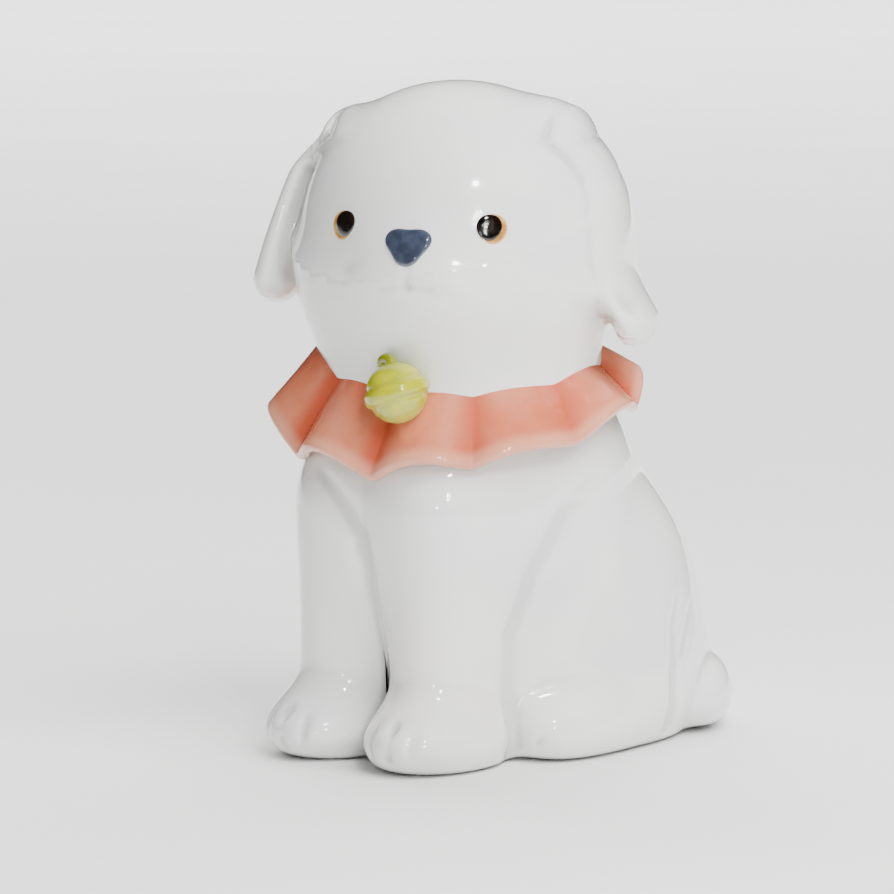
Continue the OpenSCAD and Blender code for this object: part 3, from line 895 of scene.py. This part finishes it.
class Finish:
    """A small helper that adds nodes to one material and joins them."""

    def __init__(self, name, **sockets):
        self.material = bpy.data.materials.new(name)
        self.material.use_nodes = True
        self.tree = self.material.node_tree
        self.shader = self.tree.nodes["Principled BSDF"]
        for socket, value in sockets.items():
            self.shader.inputs[socket.replace("_", " ")].default_value = value
        self.coords = self.tree.nodes.new("ShaderNodeTexCoord").outputs["Object"]

    def join(self, source, target):
        self.tree.links.new(source, target)

    def noise(self, scale, detail=2.0):
        node = self.tree.nodes.new("ShaderNodeTexNoise")
        node.inputs["Scale"].default_value = scale
        node.inputs["Detail"].default_value = detail
        self.join(self.coords, node.inputs["Vector"])
        return node.outputs["Fac"]

    def stored(self, name):
        node = self.tree.nodes.new("ShaderNodeAttribute")
        node.attribute_name = name
        return node.outputs["Fac"]

    def spread(self, source, low, high, new_low, new_high):
        node = self.tree.nodes.new("ShaderNodeMapRange")
        node.interpolation_type = "SMOOTHSTEP"
        for socket, value in zip(("From Min", "From Max", "To Min", "To Max"),
                                 (low, high, new_low, new_high)):
            node.inputs[socket].default_value = value
        self.join(source, node.inputs["Value"])
        return node.outputs["Result"]

    def times(self, first, second):
        node = self.tree.nodes.new("ShaderNodeMath")
        node.operation = "MULTIPLY"
        self.join(first, node.inputs[0])
        self.join(second, node.inputs[1])
        return node.outputs[0]

    def mix(self, share, first, second):
        node = self.tree.nodes.new("ShaderNodeMix")
        node.data_type = "RGBA"
        self.join(share, node.inputs["Factor"])
        for source, socket in ((first, node.inputs["A"]), (second, node.inputs["B"])):
            if isinstance(source, tuple):
                socket.default_value = source
            else:
                self.join(source, socket)
        return node.outputs["Result"]

    def ripple(self, *layers):
        """Bumps from slow to fine, one on top of the other: (height, strength, distance)."""
        normal = None
        for height, strength, distance in layers:
            node = self.tree.nodes.new("ShaderNodeBump")
            node.inputs["Strength"].default_value = strength
            node.inputs["Distance"].default_value = distance
            self.join(height, node.inputs["Height"])
            if normal:
                self.join(normal, node.inputs["Normal"])
            normal = node.outputs["Normal"]
        self.join(normal, self.shader.inputs["Normal"])
        self.join(normal, self.shader.inputs["Coat Normal"])


white = Finish("white_glaze", IOR=1.52, Coat_Weight=0.6, Coat_Roughness=0.02, Coat_IOR=1.5)
cloud = white.spread(white.noise(55, 3), 0.35, 0.68, 0, 1)
shade = white.mix(cloud, linear(228, 230, 228), linear(238, 238, 234))
blush = white.spread(white.noise(24, 2), 0.52, 0.72, 0, 0.5)
shade = white.mix(blush, shade, linear(234, 229, 225))
# Painted shade: the hollows of the white skin are greyed.
shade = white.mix(white.spread(white.stored("hollow_shade_and_pool"), 0, 1, 0, 0.55), shade, linear(188, 189, 188))
white.join(shade, white.shader.inputs["Base Color"])
white.join(white.spread(white.noise(90, 3), 0.3, 0.7, 0.07, 0.16), white.shader.inputs["Roughness"])
white.ripple((white.noise(70, 2), 0.12, 0.001), (white.noise(420, 2), 0.02, 0.0004))

bisque = Finish("bare_foot", IOR=1.45)
chalk = bisque.mix(bisque.noise(300, 6), linear(214, 206, 192), linear(232, 226, 214))
bisque.join(chalk, bisque.shader.inputs["Base Color"])
bisque.join(bisque.spread(bisque.noise(700, 4), 0.3, 0.7, 0.7, 0.95), bisque.shader.inputs["Roughness"])
bisque.ripple((bisque.noise(1800, 5), 0.3, 0.0002))

coral = Finish("coral_glaze", IOR=1.52, Coat_Weight=0.7, Coat_Roughness=0.02)
tone = coral.mix(coral.spread(coral.noise(130, 3), 0.3, 0.7, 0, 1),
                 linear(202, 106, 74), linear(212, 136, 106))
# Painted shade: the folds between the pleats are deepened to a darker coral.
tone = coral.mix(coral.spread(coral.stored("hollow_shade_and_pool"), 0.25, 0.95, 0, 0.85), tone, linear(182, 72, 46))
streak = coral.times(coral.spread(coral.noise(260, 4), 0.42, 0.62, 0, 1),
                     coral.spread(coral.stored("hem"), 0.1, 0.9, 0.7, 0.15))
tone = coral.mix(streak, tone, linear(200, 84, 56))
tone = coral.mix(coral.spread(coral.stored("hem"), 0.86, 1.0, 0, 0.5), tone, linear(230, 170, 142))
coral.join(tone, coral.shader.inputs["Base Color"])
coral.join(coral.spread(coral.noise(160, 3), 0.3, 0.7, 0.1, 0.22), coral.shader.inputs["Roughness"])
coral.ripple((coral.noise(150, 3), 0.35, 0.0012), (coral.noise(700, 3), 0.05, 0.0004))

green = Finish("bell_glaze", IOR=1.52, Coat_Weight=0.8, Coat_Roughness=0.02)
tone = green.mix(green.spread(green.noise(320, 3), 0.3, 0.7, 0, 1),
                 linear(156, 160, 0), linear(184, 184, 12))
# Painted shade: the bell is darker towards its top and towards one side.
tone = green.mix(green.spread(green.stored("up"), 0.55, 1.15, 0, 0.9), tone, linear(112, 120, 10))
tone = green.mix(green.spread(green.stored("side"), -0.55, -1.0, 0, 0.7), tone, linear(122, 108, 14))
tone = green.mix(green.spread(green.stored("hollow_shade_and_pool"), 0.3, 1, 0, 0.55), tone, linear(160, 160, 44))
# Painted reflection: the underside of the bell is paler.
tone = green.mix(green.spread(green.stored("up"), -0.5, -1.0, 0, 0.5), tone, linear(214, 214, 110))
green.join(tone, green.shader.inputs["Base Color"])
green.join(green.spread(green.noise(500, 3), 0.3, 0.7, 0.1, 0.2), green.shader.inputs["Roughness"])
green.ripple((green.noise(450, 3), 0.25, 0.0006))


def enamel(name, dark, light, edge, scale):
    """Brushed enamel: denser in the middle of the drop than at its rim."""
    paint = Finish(name, IOR=1.5, Coat_Weight=1.0, Coat_Roughness=0.02)
    tone = paint.mix(paint.spread(paint.noise(scale, 4), 0.35, 0.65, 0, 1), dark, light)
    tone = paint.mix(paint.spread(paint.stored("rim"), 0.82, 1.0, 0, 0.75), tone, edge)
    paint.join(tone, paint.shader.inputs["Base Color"])
    paint.join(paint.spread(paint.noise(scale * 2, 3), 0.3, 0.7, 0.08, 0.2),
               paint.shader.inputs["Roughness"])
    paint.ripple((paint.noise(scale * 1.5, 3), 0.15, 0.0003))
    return paint.material


amber = enamel("amber_enamel", linear(176, 112, 40), linear(208, 160, 84), linear(226, 205, 160), 900)
black = enamel("black_enamel", linear(10, 8, 7), linear(26, 17, 12), linear(52, 30, 18), 800)
slate = enamel("slate_enamel", linear(47, 53, 67), linear(60, 67, 85), linear(76, 82, 98), 700)

FINISHES = {"ruffled_collar": (coral.material, "coral_glaze"), "bell": (green.material, "bell_glaze"),
            "bell_loop": (green.material, "bell_glaze"), "nose": (slate, "slate_enamel")}
for word in ("left", "right"):
    FINISHES[word + "_iris"] = (amber, "amber_enamel")
    FINISHES[word + "_pupil"] = (black, "black_enamel")
for node, piece in pieces.items():
    material, slot = FINISHES.get(node, (white.material, "white_glaze"))
    piece.data.materials.clear()
    piece.data.materials.append(material)
    if slot == "white_glaze":
        piece.data.materials.append(bisque.material)
    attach(piece, "root")
    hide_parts(node)
print("finishes:", len(bpy.data.materials))

# %% [markdown]
# ## The stage
# A pale floor, soft lamps above, in front and behind, and one that keeps the floor pale far
# away. The soft ones aren't mirrored in the glaze: four small lamps put the crisp little lights
# on it that tell the eye it is glass.

# %%
# In figure heights: half the floor's side, how far away the camera is and how far it sees, and
# how far left of the figure's middle and below it the camera is aimed
FLOOR_HALF = 150
CAMERA_AWAY, CAMERA_SEES = 6.68, 400
AIM_LEFT, AIM_DOWN = 0.067, 0.06
LENS = 177
AZIMUTH, ELEVATION = math.radians(38.7), math.radians(7.9)
LOW_LIGHT, HIGH_LIGHT, DARK_FROM = 0.62, 0.26, 0.55    # the room's light, low down and overhead

centre = (Vector(cad_low) + Vector(cad_high)) / 2
tall = Vector(cad_high).z - Vector(cad_low).z
bm = bmesh.new()
bmesh.ops.create_grid(bm, x_segments=1, y_segments=1, size=FLOOR_HALF * tall)
floor = as_object("floor", from_bmesh("floor", bm))
paper = Finish("paper", IOR=1.4, Roughness=0.8)
sheet = paper.mix(paper.spread(paper.noise(8, 3), 0.3, 0.7, 0, 1),
                  linear(226, 226, 226), linear(230, 230, 229))
paper.join(sheet, paper.shader.inputs["Base Color"])
floor.data.materials.append(paper.material)

back = Vector((math.sin(AZIMUTH) * math.cos(ELEVATION), -math.cos(AZIMUTH) * math.cos(ELEVATION),
               math.sin(ELEVATION)))
right = Vector((math.cos(AZIMUTH), math.sin(AZIMUTH), 0))
up = back.cross(right)


def lamp(name, aside, above, near, size, watts, narrow=1.0, seen=True, aim=None):
    """Placed and sized in figure heights, as seen by the camera, and aimed at the figure."""
    data = bpy.data.lights.new(name, "AREA")
    data.shape = "RECTANGLE"
    data.size, data.size_y, data.energy = size * narrow * tall, size * tall, watts
    obj = bpy.data.objects.new(name, data)
    bpy.context.scene.collection.objects.link(obj)
    level_back = Vector((back.x, back.y, 0)).normalized()
    obj.location = centre + (right * aside + Vector((0, 0, 1)) * above + level_back * near) * tall
    target = centre if aim is None else obj.location + Vector(aim)
    obj.rotation_euler = (target - obj.location).to_track_quat("-Z", "Y").to_euler()
    obj.visible_glossy = seen
    return obj


lamp("soft_top", 2.2, 4.2, 2.4, 4.0, 4.5, seen=False)
lamp("soft_front", 1.5, 1.5, 6.0, 4.0, 0.7, seen=False)
lamp("soft_back", -3.5, 2.5, -3.0, 2.5, 0.5, seen=False)
lamp("spark_high", 0.9, 3.6, 4.6, 0.4, 0.55)
lamp("spark_low", -0.5, 0.7, 6.4, 0.22, 0.16)
lamp("strip_left", 1.05, 1.7, 5.6, 0.75, 0.22, narrow=0.12)
lamp("strip_right", 1.32, 1.7, 5.6, 0.75, 0.22, narrow=0.12)
lamp("far_floor", 0, 14.0, -27.0, 40.0, 210.0, seen=False, aim=(0, 0, -1))

# The room is brightest at floor level and darker overhead, so that the floor's edge doesn't draw
# a line across the glaze.
world = bpy.data.worlds.new("studio")
bpy.context.scene.world = world
world.use_nodes = True
sky = world.node_tree.nodes["Background"]
place = world.node_tree.nodes.new("ShaderNodeTexCoord")
split = world.node_tree.nodes.new("ShaderNodeSeparateXYZ")
ramp = world.node_tree.nodes.new("ShaderNodeMapRange")
for socket, value in zip(("From Min", "From Max", "To Min", "To Max"),
                         (0.0, DARK_FROM, LOW_LIGHT, HIGH_LIGHT)):
    ramp.inputs[socket].default_value = value
world.node_tree.links.new(place.outputs["Generated"], split.inputs["Vector"])
world.node_tree.links.new(split.outputs["Z"], ramp.inputs["Value"])
world.node_tree.links.new(ramp.outputs["Result"], sky.inputs["Strength"])

camera = bpy.data.cameras.new("camera")
camera.lens = LENS
camera.clip_end = CAMERA_SEES * tall
view = bpy.data.objects.new("camera", camera)
bpy.context.scene.collection.objects.link(view)
aim = centre - right * (AIM_LEFT * tall) - up * (AIM_DOWN * tall)
view.location = aim + back * (CAMERA_AWAY * tall)
view.rotation_euler = back.to_track_quat("Z", "Y").to_euler()
bpy.context.scene.camera = view

# %% [markdown]
# ## The measured solids
# The corners of the measured solids are printed, in millimetres.

# %%
print("solids", [round(v * MM, 1) for v in (*cad_low, *cad_high)])
